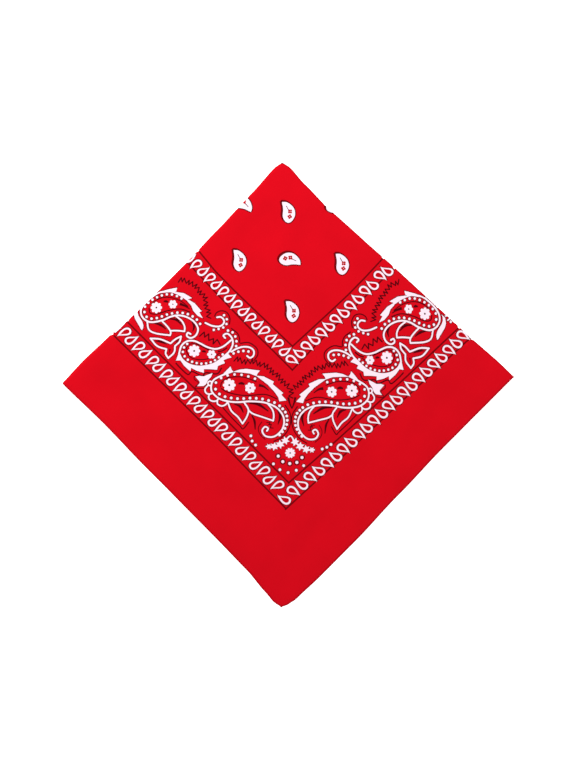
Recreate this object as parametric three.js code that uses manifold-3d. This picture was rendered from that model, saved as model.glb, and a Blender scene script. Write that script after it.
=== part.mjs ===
// A square cotton bandana folded twice into quarters and lying flat as a diamond.
// The top corner is the middle of the cloth, the two upper edges are folds, and the two lower
// edges are hemmed. Millimetres, +Z up, resting on z = 0, with the diamond's long way along X.
import * as THREE from "three";
import { mergeVertices } from "three/addons/utils/BufferGeometryUtils.js";
import Module from "manifold-3d";

const wasm = await Module();
wasm.setup();

// Driving dimensions
const CLOTH_SIDE = 550; // the finished square, hem to hem
const QUARTER = CLOTH_SIDE / 2;
const WALL = 1; // one layer of cloth
const GAP = 0.3; // between a piece and its neighbour
const HEM_WIDTH = 5;
const HEM_SET_BACK = 0.8; // of the turned hem from the cloth's own edge
const RIM = 0.4; // how far a layer's edge rounds out
const INNER_FOLD_RADIUS = 0.75; // of the first fold, at the middle of the wall
const MIDDLE_HEIGHT = 3.6; // of the middle of the top wall, away from folds and hems
const RIGHT_FOLD_HEIGHT = 4.1; // the same, at the first fold
const HEM_RISE = 1; // how much a hem lifts the cloth over it
const LAYER_HEIGHT = 0.9; // of each hidden layer at the free edges
const LAYER_OVERLAP = 0.1; // by which hidden layers run into each other
const BEND_STEPS = 6; // in half a turn
const NEAR_FOLD = { from: 6, to: 36, step: 6 }; // stations where the cloth falls away from a fold
const FLAT_STEP = 13; // between stations where it lies flat

// Where the corners of the folded cloth lie, seen from above
const CORNERS = {
  top: { x: -5.1, y: 191.9 }, // the middle of the whole cloth
  left: { x: -194.5, y: 1.6 },
  right: { x: 194.5, y: 7 },
  bottom: { x: -5.8, y: -191.3 }, // where two hems meet
};

// How far each edge bows out (positive) or in from a straight line between its corners.
// share runs from the first named corner to the second.
const EDGES = {
  left_fold: {
    from: "top",
    to: "left",
    bows: [
      { share: 0, out: 0 },
      { share: 0.03, out: 1.2 },
      { share: 0.14, out: -0.3 },
      { share: 0.3, out: -1.6 },
      { share: 0.46, out: -2.6 },
      { share: 0.6, out: -2.7 },
      { share: 0.7, out: -2 },
      { share: 0.8, out: 0 },
      { share: 0.9, out: 0.8 },
      { share: 1, out: 0 },
    ],
  },
  right_fold: {
    from: "top",
    to: "right",
    bows: [
      { share: 0, out: 0 },
      { share: 0.03, out: 1.2 },
      { share: 0.1, out: -0.6 },
      { share: 0.2, out: -2 },
      { share: 0.35, out: -1.5 },
      { share: 0.5, out: -0.7 },
      { share: 0.8, out: -0.4 },
      { share: 0.94, out: 0.4 },
      { share: 1, out: 0 },
    ],
  },
  left_hem: {
    from: "left",
    to: "bottom",
    bows: [
      { share: 0, out: 0 },
      { share: 0.2, out: -1.3 },
      { share: 0.35, out: -0.8 },
      { share: 0.5, out: -1.1 },
      { share: 0.7, out: -1.3 },
      { share: 0.84, out: -1.1 },
      { share: 0.93, out: 0.7 },
      { share: 0.97, out: 1.5 },
      { share: 1, out: 0 },
    ],
  },
  right_hem: {
    from: "right",
    to: "bottom",
    bows: [
      { share: 0, out: 0 },
      { share: 0.15, out: 0.3 },
      { share: 0.3, out: 0.6 },
      { share: 0.5, out: 2.3 },
      { share: 0.7, out: 4.4 },
      { share: 0.85, out: 4.7 },
      { share: 0.95, out: 4 },
      { share: 0.98, out: 2.4 },
      { share: 1, out: 0 },
    ],
  },
};

// The second fold wraps all the layers and puffs up towards the left corner.
// share runs from the top corner to the left one, radius is at the middle of the wall.
const LEFT_FOLD = [
  { share: 0, radius: 2.1 },
  { share: 0.3, radius: 2 },
  { share: 0.6, radius: 2.05 },
  { share: 0.8, radius: 2.4 },
  { share: 0.93, radius: 2.5 },
  { share: 1, radius: 2.25 },
];

// The soft folds left in the cloth, each a ridge (positive height) or a trough, which fades out
// at both its ends. Distances are from the right fold (across) and from the left fold (down).
const CREASES = [
  { across: 235, down: 14, to_across: 178, to_down: 16, half_width: 9, height: -0.8 },
  { across: 232, down: 34, to_across: 196, to_down: 30, half_width: 14, height: 0.6 },
  { across: 30, down: 18, to_across: 112, to_down: 20, half_width: 11, height: -0.6 },
  { across: 8, down: 36, to_across: 70, to_down: 60, half_width: 16, height: 0.5 },
  { across: 100, down: 92, to_across: 140, to_down: 150, half_width: 22, height: 0.4 },
  { across: 12, down: 120, to_across: 26, to_down: 225, half_width: 12, height: -0.5 },
  { across: 60, down: 232, to_across: 150, to_down: 246, half_width: 17, height: 0.5 },
  { across: 205, down: 90, to_across: 240, to_down: 190, half_width: 20, height: -0.5 },
  { across: 180, down: 225, to_across: 245, to_down: 240, half_width: 15, height: 0.5 },
];

// A smooth curve through one column of a table, by share.
function alongTable(table, share, column) {
  let row = 0;
  while (row < table.length - 2 && share > table[row + 1].share) row += 1;
  const here = table[row];
  const next = table[row + 1];
  const part = THREE.MathUtils.smoothstep(share, here.share, next.share);
  return THREE.MathUtils.lerp(here[column], next[column], part);
}

// A point of an edge, seen from above.
function edgePoint(edge, share) {
  const from = CORNERS[edge.from];
  const to = CORNERS[edge.to];
  const start = new THREE.Vector2(from.x, from.y);
  const along = new THREE.Vector2(to.x, to.y).sub(start);
  const outward = new THREE.Vector2(-along.y, along.x).normalize();
  const middle = start.clone().addScaledVector(along, 0.5);
  if (outward.dot(middle) < 0) outward.negate();
  const bow = alongTable(edge.bows, THREE.MathUtils.clamp(share, 0, 1), "out");
  return start.addScaledVector(along, share).addScaledVector(outward, bow);
}

// Where a point of the quarter lies, seen from above. across is its distance from the right fold
// and down its distance from the left fold, and the four bowed edges are blended between them.
function planPoint(across, down) {
  const a = across / QUARTER;
  const b = down / QUARTER;
  const corner = (name, weight) => {
    const { x, y } = CORNERS[name];
    return new THREE.Vector2(x, y).multiplyScalar(weight);
  };
  return edgePoint(EDGES.left_fold, a)
    .multiplyScalar(1 - b)
    .addScaledVector(edgePoint(EDGES.right_hem, a), b)
    .addScaledVector(edgePoint(EDGES.right_fold, b), 1 - a)
    .addScaledVector(edgePoint(EDGES.left_hem, b), a)
    .sub(corner("top", (1 - a) * (1 - b)))
    .sub(corner("left", a * (1 - b)))
    .sub(corner("right", (1 - a) * b))
    .sub(corner("bottom", a * b));
}

function foldRadius(across) {
  return alongTable(LEFT_FOLD, THREE.MathUtils.clamp(across / QUARTER, 0, 1), "radius");
}

// 1 near an edge, 0 past a distance from it.
function fade(distance, whole, none) {
  return 1 - THREE.MathUtils.smoothstep(distance, whole, none);
}

const FOLD_REACH = { whole: 7, none: 34 }; // how far in the left fold's puff reaches
const RIGHT_FOLD_REACH = { whole: 5, none: 26 };
const HEM_REACH = { whole: HEM_SET_BACK + HEM_WIDTH + 0.6, none: 12 }; // how far in a hem lifts the cloth

function creaseHeight(across, down) {
  let height = 0;
  for (const crease of CREASES) {
    const start = new THREE.Vector2(crease.across, crease.down);
    const run = new THREE.Vector2(crease.to_across, crease.to_down).sub(start);
    const here = new THREE.Vector2(across, down).sub(start);
    const share = here.dot(run) / run.lengthSq();
    const aside = Math.abs(here.cross(run)) / run.length();
    const along = fade(Math.abs(share - 0.5), 0.25, 0.75);
    height += crease.height * along * fade(aside, 0, crease.half_width);
  }
  return height;
}

// The height of the middle of the top wall over a point of the quarter.
function wallHeight(across, down) {
  const leftFold = fade(down, FOLD_REACH.whole, FOLD_REACH.none);
  const rightFold = fade(across, RIGHT_FOLD_REACH.whole, RIGHT_FOLD_REACH.none);
  const toHem = QUARTER - Math.max(across, down);
  const flat =
    THREE.MathUtils.lerp(MIDDLE_HEIGHT, RIGHT_FOLD_HEIGHT, rightFold) +
    HEM_RISE * fade(toHem, HEM_REACH.whole, HEM_REACH.none) +
    creaseHeight(across, down);
  const puffed = WALL / 2 + 2 * foldRadius(across);
  return THREE.MathUtils.lerp(flat, puffed, leftFold);
}

// A bend of half a turn. along is measured on the middle of the wall, from where the cloth would
// end if it were cut at the fold, and depth is how far inside the bend a point lies.
function bend(along, radius, depth) {
  const outer = WALL / 2;
  const angle = (radius - along) / radius;
  if (angle <= 0) return { inset: along + outer, drop: depth };
  const turned = Math.min(angle, Math.PI);
  return {
    inset: radius + outer - (radius - depth) * Math.sin(turned),
    drop: radius - (radius - depth) * Math.cos(turned),
  };
}

// A point of the top cloth, bent round the right fold and then, with it, round the left fold.
function clothPoint(along1, along2, depth) {
  const first = bend(along1, INNER_FOLD_RADIUS, depth);
  const second = bend(along2, foldRadius(first.inset), first.drop);
  const plan = planPoint(first.inset, second.inset);
  return new THREE.Vector3(plan.x, plan.y, wallHeight(first.inset, second.inset) - second.drop);
}

// Even stations from one distance to another, no more than step apart.
function stations(from, to, step) {
  const count = Math.ceil((to - from) / step);
  return Array.from({ length: count + 1 }, (_, i) => from + ((to - from) * i) / count);
}

// Joins runs of stations that share their ends.
function joined(...runs) {
  return runs.flatMap((run, i) => (i === 0 ? run : run.slice(1)));
}

// A closed body over a grid of stations: an upper skin, a lower skin and a rounded rim.
// pointAt(x1, x2, depth share) places a point, with 0 on the upper skin and 1 on the lower.
function closedSheet(stations1, stations2, rim, pointAt) {
  const RIM_STEPS = 4;
  const n1 = stations1.length;
  const n2 = stations2.length;
  const positions = [];
  const faces = [];
  const add = (point) => positions.push(point.x, point.y, point.z) / 3 - 1;
  const skin = (share) => stations1.map((x1) => stations2.map((x2) => add(pointAt(x1, x2, share))));
  const upper = skin(0);
  const lower = skin(1);
  const quad = (a, b, c, d) => faces.push(a, b, c, a, c, d);
  for (let i = 0; i < n1 - 1; i += 1) {
    for (let j = 0; j < n2 - 1; j += 1) {
      quad(upper[i][j], upper[i + 1][j], upper[i + 1][j + 1], upper[i][j + 1]);
      quad(lower[i][j], lower[i][j + 1], lower[i + 1][j + 1], lower[i + 1][j]);
    }
  }
  const border = [];
  for (let i = 0; i < n1 - 1; i += 1) border.push([i, 0]);
  for (let j = 0; j < n2 - 1; j += 1) border.push([n1 - 1, j]);
  for (let i = n1 - 1; i > 0; i -= 1) border.push([i, n2 - 1]);
  for (let j = n2 - 1; j > 0; j -= 1) border.push([0, j]);
  const side = (index, count) => (index === 0 ? -1 : index === count - 1 ? 1 : 0);
  let above = border.map(([i, j]) => upper[i][j]);
  for (let step = 1; step <= RIM_STEPS; step += 1) {
    const share = (1 - Math.cos((Math.PI * step) / RIM_STEPS)) / 2;
    const out = rim * Math.sin((Math.PI * step) / RIM_STEPS);
    const below =
      step === RIM_STEPS
        ? border.map(([i, j]) => lower[i][j])
        : border.map(([i, j]) =>
            add(pointAt(stations1[i] + out * side(i, n1), stations2[j] + out * side(j, n2), share)),
          );
    for (let k = 0; k < border.length; k += 1) {
      const next = (k + 1) % border.length;
      quad(above[k], below[k], below[next], above[next]);
    }
    above = below;
  }
  return new THREE.BufferGeometry()
    .setAttribute("position", new THREE.BufferAttribute(new Float32Array(positions), 3))
    .setIndex(faces);
}

// One solid from several that run into each other.
function fused(geometries) {
  const solids = geometries.map((geometry) => {
    const merged = mergeVertices(geometry, 1e-4);
    return new wasm.Manifold(
      new wasm.Mesh({
        numProp: 3,
        vertProperties: merged.attributes.position.array,
        triVerts: new Uint32Array(merged.index.array),
      }),
    );
  });
  const mesh = solids.reduce((whole, solid) => whole.add(solid)).getMesh();
  return new THREE.BufferGeometry()
    .setAttribute("position", new THREE.BufferAttribute(mesh.vertProperties, 3))
    .setIndex(new THREE.BufferAttribute(mesh.triVerts, 1));
}

// Stations from the folds, over their bends, to the free edges. Every layer has the same ones
// where it lies flat, so that neighbours stay the same gap apart.
const widestFold = Math.max(...LEFT_FOLD.map((row) => row.radius));
const freeEdge = QUARTER - WALL / 2 - RIM; // where a layer's rounded rim begins
const hemOuter = freeEdge - HEM_SET_BACK;
const hemInner = hemOuter - HEM_WIDTH;
const hemRoom = hemInner - RIM - GAP; // from here on the hidden layers make room for the hem
const hemLift = QUARTER - HEM_REACH.none;
const FLAT_STATIONS = joined(
  stations(NEAR_FOLD.from, NEAR_FOLD.to, NEAR_FOLD.step),
  stations(NEAR_FOLD.to, hemLift, FLAT_STEP),
  [hemLift, hemRoom - RIM],
);

function clothStations(radius) {
  const turn = stations(radius * (1 - Math.PI), radius, (radius * Math.PI) / BEND_STEPS);
  return [...turn, ...FLAT_STATIONS, ...stations(hemInner, freeEdge, HEM_WIDTH / 2)];
}

const across = clothStations(INNER_FOLD_RADIUS);
const down = clothStations(widestFold);

// A hidden piece starts behind the end of a bend.
function clearOfFold(radius) {
  return radius + WALL / 2 + 2 * RIM + GAP;
}

function topPanel() {
  return closedSheet(across, down, RIM, (x1, x2, share) => clothPoint(x1, x2, (share - 0.5) * WALL));
}

// A hem is turned under the free edge, so it is made from the panel's own points, moved in.
function hem(stations1, stations2) {
  const upper = WALL / 2 + GAP;
  const pointAt = (x1, x2, share) => clothPoint(x1, x2, upper + share * WALL);
  return closedSheet(stations1, stations2, RIM, pointAt);
}

// The left hem runs round the left fold to the bottom corner. The right one starts behind the
// right fold's bend and stops at the left hem.
const hemWidth = stations(hemInner, hemOuter, HEM_WIDTH / 2);
const leftHemLength = [...down.filter((x) => x < hemInner), ...hemWidth];
const rightHemEnd = hemInner - 2 * RIM - GAP;
const rightHemLength = [clearOfFold(INNER_FOLD_RADIUS), ...FLAT_STATIONS.slice(0, -1), rightHemEnd];

// The hidden layers, each set in by its own amount at the free edges. The upper one has no level
// of its own, because it fills the room under the top cloth and its hems.
const LAYERS = [
  { name: "lowest", low: 0, high: 1 * LAYER_HEIGHT, left_set_in: 1.2, right_set_in: 0.5 },
  { name: "middle", low: 1 * LAYER_HEIGHT, high: 2 * LAYER_HEIGHT, left_set_in: 0.2, right_set_in: 1.1 },
  { name: "upper", low: 2 * LAYER_HEIGHT, high: null, left_set_in: 0.8, right_set_in: 0.3 },
];
const leftStart = clearOfFold(widestFold);
const rightStart = clearOfFold(INNER_FOLD_RADIUS);
const NOSE_DEPTH = 4; // how far in a nose runs into the layers behind it

// The top of the hidden layers, clear of the cloth and of the hem turned under it.
function roomHeight(x1, x2) {
  const underHem = Math.max(x1, x2) >= hemRoom ? WALL + GAP : 0;
  return wallHeight(x1, x2) - WALL / 2 - GAP - underHem;
}

function hiddenLayer(layer) {
  const EVERY = 3; // a level layer needs only every third station
  const behindNose = layer.high ? rightStart + NOSE_DEPTH / 2 : rightStart;
  const inner = FLAT_STATIONS.slice(1);
  const flat = layer.high ? inner.filter((_, i) => i % EVERY === EVERY - 1) : inner;
  const toEdge = (setIn) => [...flat, ...stations(hemRoom, freeEdge - setIn, HEM_WIDTH)];
  const stations1 = [behindNose, ...toEdge(layer.left_set_in)];
  const stations2 = [leftStart, ...toEdge(layer.right_set_in)];
  const bottom = Math.max(0, layer.low - LAYER_OVERLAP);
  return closedSheet(stations1, stations2, RIM, (x1, x2, share) => {
    const plan = planPoint(x1, x2);
    const top = layer.high ?? roomHeight(x1, x2);
    return new THREE.Vector3(plan.x, plan.y, THREE.MathUtils.lerp(top, bottom, share));
  });
}

// The inner nose of the left fold, where the two middle layers turn inside the top cloth.
function leftNose() {
  const ROUND = 1; // the rim here is a share of the nose's own radius
  const TAPER = 0.85; // of its height where it runs into the layers
  const along = [rightStart + ROUND, ...FLAT_STATIONS.slice(1, -1), hemRoom - 1.5 * ROUND];
  return closedSheet(along, [0, NOSE_DEPTH], ROUND, (x1, x2, share) => {
    const radius = foldRadius(x1);
    const reach = radius - WALL / 2 - GAP;
    const plan = planPoint(x1, radius + WALL / 2 + (x2 < 0 ? x2 * reach : x2));
    const taper = x2 > 0 ? TAPER : 1;
    return new THREE.Vector3(plan.x, plan.y, WALL / 2 + radius + (1 - 2 * share) * reach * taper);
  });
}

// The lower nose of the right fold, where the two lowest layers turn.
function rightNose() {
  const high = 2 * LAYER_HEIGHT;
  const along = [leftStart + high / 2, ...FLAT_STATIONS.slice(1), freeEdge - high];
  return closedSheet([0, NOSE_DEPTH], along, high / 2, (x1, x2, share) => {
    const plan = planPoint(rightStart + x1, x2);
    return new THREE.Vector3(plan.x, plan.y, high * (1 - share));
  });
}

const root = new THREE.Group();

function addPiece(name, geometry, color) {
  const material = new THREE.MeshStandardMaterial({ color, roughness: 0.92, metalness: 0 });
  const mesh = new THREE.Mesh(geometry, material);
  mesh.name = name;
  root.add(mesh);
}

addPiece("top_panel", topPanel(), 0xd80f1e);
addPiece("hem_left", hem(hemWidth, leftHemLength), 0xc40d1a);
addPiece("hem_right", hem(rightHemLength, hemWidth), 0xc40d1a);
addPiece("under_layers", fused([...LAYERS.map(hiddenLayer), leftNose(), rightNose()]), 0xb80c18);

export default root;
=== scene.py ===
import math

import bmesh
import bpy
import numpy as np
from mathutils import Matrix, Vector
from mathutils.geometry import delaunay_2d_cdt


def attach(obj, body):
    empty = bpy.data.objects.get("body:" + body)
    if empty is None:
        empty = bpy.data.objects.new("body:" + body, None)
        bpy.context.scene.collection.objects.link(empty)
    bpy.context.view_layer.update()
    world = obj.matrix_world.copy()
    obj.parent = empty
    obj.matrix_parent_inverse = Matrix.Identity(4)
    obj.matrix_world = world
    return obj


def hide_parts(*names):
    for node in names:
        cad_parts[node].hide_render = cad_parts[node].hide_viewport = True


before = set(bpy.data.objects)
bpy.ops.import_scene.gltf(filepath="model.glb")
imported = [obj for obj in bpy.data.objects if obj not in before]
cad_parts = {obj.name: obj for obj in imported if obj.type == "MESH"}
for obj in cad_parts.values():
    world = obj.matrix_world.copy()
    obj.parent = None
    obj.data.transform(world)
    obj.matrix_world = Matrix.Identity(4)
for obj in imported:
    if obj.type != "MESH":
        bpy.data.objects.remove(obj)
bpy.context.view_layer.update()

# The bandana is one hemmed cotton square, folded in half and in half again, so that a quarter of
# it shows. A point of the cloth is known by its distance along the cloth from the right fold and
# from the left one, in millimetres, and is bent over the folds and hems and laid on the table.
MM = 0.001
QUARTER = 275.0
HALF_WALL = 0.5
CORNERS = {
    "top": (-5.1, 191.9),
    "left": (-194.5, 1.6),
    "right": (194.5, 7.0),
    "bottom": (-5.8, -191.3),
}
# Each edge bows out or in from a straight line, given as (share of its length, out)
EDGES = {
    "left_fold": ("top", "left", [
        (0, 0), (0.03, 1.2), (0.14, -0.3), (0.3, -1.6), (0.46, -2.6), (0.6, -2.7), (0.7, -2),
        (0.8, 0), (0.9, 0.8), (1, 0)]),
    "right_fold": ("top", "right", [
        (0, 0), (0.03, 1.2), (0.1, -0.6), (0.2, -2), (0.35, -1.5), (0.5, -0.7), (0.8, -0.4),
        (0.94, 0.4), (1, 0)]),
    "left_hem": ("left", "bottom", [
        (0, 0), (0.2, -1.3), (0.35, -0.8), (0.5, -1.1), (0.7, -1.3), (0.84, -1.1), (0.93, 0.7),
        (0.97, 1.5), (1, 0)]),
    "right_hem": ("right", "bottom", [
        (0, 0), (0.15, 0.3), (0.3, 0.6), (0.5, 2.3), (0.7, 4.4), (0.85, 4.7), (0.95, 4),
        (0.98, 2.4), (1, 0)]),
}
# The left fold is a soft roll, given as (share of its length, radius), and the right one is pressed
LEFT_FOLD_RADIUS = [(0, 2.1), (0.3, 2), (0.6, 2.05), (0.8, 2.4), (0.93, 2.5), (1, 2.25)]
RIGHT_FOLD_RADIUS = 0.75
HEM_TURN_RADIUS = 0.7
HEM_TURN_START = QUARTER - HALF_WALL - HEM_TURN_RADIUS
# The wall that shows lies this high, and lifts by the folds and hems. Each reach is where the lift
# is still whole and where it has gone
FLAT_HEIGHT = 3.6
RIGHT_FOLD_LIFT, RIGHT_FOLD_REACH = 0.5, (5, 26)
HEM_LIFT, HEM_REACH = 1, (6.4, 34)
LEFT_FOLD_REACH = (7, 34)
# Soft creases: from and to (across, down), half width, height
CREASES = [
    (235, 14, 178, 16, 9, -0.8),
    (232, 34, 196, 30, 14, 0.6),
    (30, 18, 112, 20, 11, -0.6),
    (8, 36, 70, 60, 16, 0.5),
    (100, 92, 140, 150, 22, 0.4),
    (12, 120, 26, 225, 12, -0.5),
    (60, 232, 150, 246, 17, 0.5),
    (205, 90, 240, 190, 20, -0.5),
    (180, 225, 245, 240, 15, 0.5),
]


def smooth(share):
    share = np.clip(share, 0, 1)
    return share * share * (3 - 2 * share)


def fade(distance, whole, none):
    return 1 - smooth((distance - whole) / (none - whole))


def along_table(table, share):
    table = np.array(table, float)
    row = np.clip(np.searchsorted(table[:, 0], share, side="right") - 1, 0, len(table) - 2)
    here, after = table[row], table[row + 1]
    part = smooth((share - here[:, 0]) / (after[:, 0] - here[:, 0]))
    return here[:, 1] + (after[:, 1] - here[:, 1]) * part


def edge_point(edge, share):
    first, last, bows = EDGES[edge]
    start = np.array(CORNERS[first])
    run = np.array(CORNERS[last]) - start
    outward = np.array([-run[1], run[0]]) / np.hypot(*run)
    if outward @ (start + run / 2) < 0:
        outward = -outward
    bow = along_table(bows, np.clip(share, 0, 1))
    return start + share[:, None] * run + bow[:, None] * outward


def plan_point(across, down):
    a, b = across / QUARTER, down / QUARTER
    wide, deep = a[:, None], b[:, None]
    edges = edge_point("left_fold", a) * (1 - deep) + edge_point("right_hem", a) * deep
    edges += edge_point("right_fold", b) * (1 - wide) + edge_point("left_hem", b) * wide
    corners = np.array(CORNERS["top"]) * (1 - wide) * (1 - deep)
    corners = corners + np.array(CORNERS["left"]) * wide * (1 - deep)
    corners += np.array(CORNERS["right"]) * (1 - wide) * deep
    return edges - corners - np.array(CORNERS["bottom"]) * wide * deep


def fold_radius(across):
    return along_table(LEFT_FOLD_RADIUS, np.clip(across / QUARTER, 0, 1))


def crease_height(creases, across, down):
    height = np.zeros(len(across))
    for from_across, from_down, to_across, to_down, half_width, rise in creases:
        run = np.array([to_across - from_across, to_down - from_down])
        here = np.stack([across - from_across, down - from_down], axis=1)
        share = here @ run / (run @ run)
        aside = np.abs(here[:, 0] * run[1] - here[:, 1] * run[0]) / np.hypot(*run)
        height += rise * fade(np.abs(share - 0.5), 0.25, 0.75) * fade(aside, 0, half_width)
    return height


def wall_height(across, down):
    flat = FLAT_HEIGHT + RIGHT_FOLD_LIFT * fade(across, *RIGHT_FOLD_REACH)
    flat += HEM_LIFT * fade(QUARTER - np.maximum(across, down), *HEM_REACH)
    flat += crease_height(CREASES, across, down)
    puffed = HALF_WALL + 2 * fold_radius(across)
    return flat + (puffed - flat) * fade(down, *LEFT_FOLD_REACH)


def over_fold(along, radius, depth):
    angle = np.clip((radius - along) / radius, 0, math.pi)
    inset = radius + HALF_WALL - (radius - depth) * np.sin(angle)
    drop = radius - (radius - depth) * np.cos(angle)
    flat = along >= radius
    return np.where(flat, along + HALF_WALL, inset), np.where(flat, depth, drop)


def round_hem(along, inset, depth):
    angle = np.clip((along - HEM_TURN_START) / HEM_TURN_RADIUS, 0, math.pi)
    turned = HEM_TURN_START + HALF_WALL + HEM_TURN_RADIUS * np.sin(angle)
    inset = np.where(along > HEM_TURN_START, turned, inset)
    return inset, depth + HEM_TURN_RADIUS * (1 - np.cos(angle))


def cloth_point(along1, along2, depth):
    inset1, depth1 = over_fold(along1, RIGHT_FOLD_RADIUS, depth)
    inset1, depth1 = round_hem(along1, inset1, depth1)
    inset2, drop = over_fold(along2, fold_radius(inset1), depth1)
    inset2, drop = round_hem(along2, inset2, drop)
    plan = plan_point(inset1, inset2)
    height = wall_height(inset1, inset2) - drop
    return np.column_stack([plan, height]) * MM


SEARCH_ROUNDS, SEARCH_STEP = 12, 0.01


def cloth_place(plan):
    """Where on the cloth a point seen from above lies. Past a fold it is on the turned part."""
    plan = np.asarray(plan, float)
    insets = np.full((len(plan), 2), QUARTER / 2)
    for _ in range(SEARCH_ROUNDS):
        here = plan_point(insets[:, 0], insets[:, 1])
        side = plan_point(insets[:, 0] + SEARCH_STEP, insets[:, 1]) - here
        ahead = plan_point(insets[:, 0], insets[:, 1] + SEARCH_STEP) - here
        slopes = np.stack([side, ahead], axis=2) / SEARCH_STEP
        insets += np.linalg.solve(slopes, (plan - here)[:, :, None])[:, :, 0]
    radii = np.full(len(plan), RIGHT_FOLD_RADIUS), fold_radius(insets[:, 0])
    places = []
    for inset, radius in zip(insets.T, radii):
        outer = radius + HALF_WALL
        angle = np.arcsin(np.clip(1 - inset / outer, 0, 1))
        past = radius * (1 - math.pi / 2) + np.minimum(inset, 0)
        place = np.where(inset >= outer, inset - HALF_WALL, radius * (1 - angle))
        places.append(np.where(inset <= 0, past, place))
    return np.column_stack(places)


# The print is pigment pressed on red cotton: white motifs edged with a very dark red, and dark
# red lines. It is drawn as outlines seen from above, in millimetres, one ink over another, from
# strokes, dots, beads, edged shapes, flowers, zigzags and drops.
INKS = ["red", "edge", "line", "dark", "white", "inside", "sprig", "stem"]
print_marks = []


def mark(ink, outline):
    outline = np.asarray(outline, float)
    x, y = outline.T
    area = x @ np.roll(y, -1) - y @ np.roll(x, -1)
    print_marks.append((ink, outline if area > 0 else outline[::-1]))


def curve(stops, step=1.3):
    stops = np.array(stops, float)
    ends = np.vstack([2 * stops[0] - stops[1], stops, 2 * stops[-1] - stops[-2]])
    line = []
    for p0, p1, p2, p3 in zip(ends, ends[1:], ends[2:], ends[3:]):
        count = max(2, math.ceil(np.hypot(*(p2 - p1)) / step))
        t = np.arange(count)[:, None] / count
        line.append(0.5 * (2 * p1 + (p2 - p0) * t + (2 * p0 - 5 * p1 + 4 * p2 - p3) * t**2
                           + (3 * p1 - p0 - 3 * p2 + p3) * t**3))
    return np.vstack(line + [stops[-1:]])


def evenly(line, count):
    steps = np.hypot(*np.diff(line, axis=0).T)
    run = np.concatenate([[0], np.cumsum(steps)])
    at = np.linspace(0, run[-1], count)
    return np.column_stack([np.interp(at, run, line[:, 0]), np.interp(at, run, line[:, 1])])


def stroke(ink, line, width):
    line = np.asarray(line, float)
    width = np.interp(np.linspace(0, 1, len(line)), np.linspace(0, 1, np.size(width)),
                      np.atleast_1d(width))
    heading = np.gradient(line, axis=0)
    heading /= np.maximum(np.hypot(*heading.T), 1e-6)[:, None]
    aside = np.column_stack([-heading[:, 1], heading[:, 0]]) * width[:, None] / 2
    left, right = line + aside, line - aside
    for i in range(len(line) - 1):
        mark(ink, [right[i], right[i + 1], left[i + 1], left[i]])


def dot(ink, centre, radius, sides=10):
    turn = np.arange(sides) * math.tau / sides
    mark(ink, np.array(centre) + radius * np.column_stack([np.cos(turn), np.sin(turn)]))


EDGE = 0.7


def white_line(stops, width=1.5):
    line = curve(stops)
    stroke("edge", line, width + 2 * EDGE)
    stroke("white", line, width)
    for place in (line[0], line[-1]):
        dot("edge", place, width / 2 + EDGE)
        dot("white", place, width / 2)


def beads(stops, count, radius=1.2, edge=EDGE):
    for place in evenly(curve(stops), count):
        dot("edge", place, radius + edge)
        dot("white", place, radius)


def white_shape(outline, edge=EDGE):
    outline = np.asarray(outline, float)
    ring = np.vstack([outline, outline[:1]])
    stroke("edge", ring, 2 * edge)
    for place in outline:
        dot("edge", place, edge, 6)
    mark("white", outline)


def dark_line(stops, width=0.95):
    stroke("dark", curve(stops), width)


def flower(centre, radius, petals):
    turn = np.arange(petals * 6) * math.tau / (petals * 6)
    reach = 1 - 0.26 * (1 - np.abs(np.cos(petals * turn / 2)) ** 0.8)
    outline = np.column_stack([np.cos(turn), np.sin(turn)]) * reach[:, None]
    mark("edge", np.array(centre) + outline * (radius + 0.35))
    mark("white", np.array(centre) + outline * radius)
    dot("stem", centre, radius * 0.16, 8)


def zigzag(stops, reach=1.9, width=1.0, half_pitch=1.7):
    line = curve(stops)
    count = 1 + round(np.hypot(*np.diff(line, axis=0).T).sum() / half_pitch)
    line = evenly(line, count)
    heading = np.gradient(line, axis=0)
    heading /= np.hypot(*heading.T)[:, None]
    aside = np.column_stack([-heading[:, 1], heading[:, 0]])
    number = np.arange(count)
    swing = reach * np.where(number % 2, 1, -1) * (1 + 0.3 * np.sin(number * 2.3))
    slant = 0.5 * np.sin(number * 1.7)
    corners = line + aside * swing[:, None] + heading * slant[:, None]
    for one, other in zip(corners, corners[1:]):
        stroke("dark", [one, other], width)
    for corner in corners:
        dot("dark", corner, width / 2, 6)


# How sharp a teardrop's tip is, and what brings its widest place and its hook to their full size
TIP_SHARPNESS, BELLY_SCALE, HOOK_SCALE = 1.7, 1.472, 6.75


def drop_outline(middle, heading, length, width, bend=0.0, count=26):
    """A teardrop that points along heading. It bellies to one side and hooks to the other."""
    aside = np.array([-heading[1], heading[0]])
    turn = np.arange(count) * math.tau / count
    ahead = length / 2 * np.cos(turn)
    out = width / 2 * np.sin(turn) * np.abs(np.sin(turn / 2)) ** TIP_SHARPNESS * BELLY_SCALE
    share = ahead / length + 0.5
    out -= bend * HOOK_SCALE * share**2 * (1 - share)
    return middle + ahead[:, None] * heading + out[:, None] * aside


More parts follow.
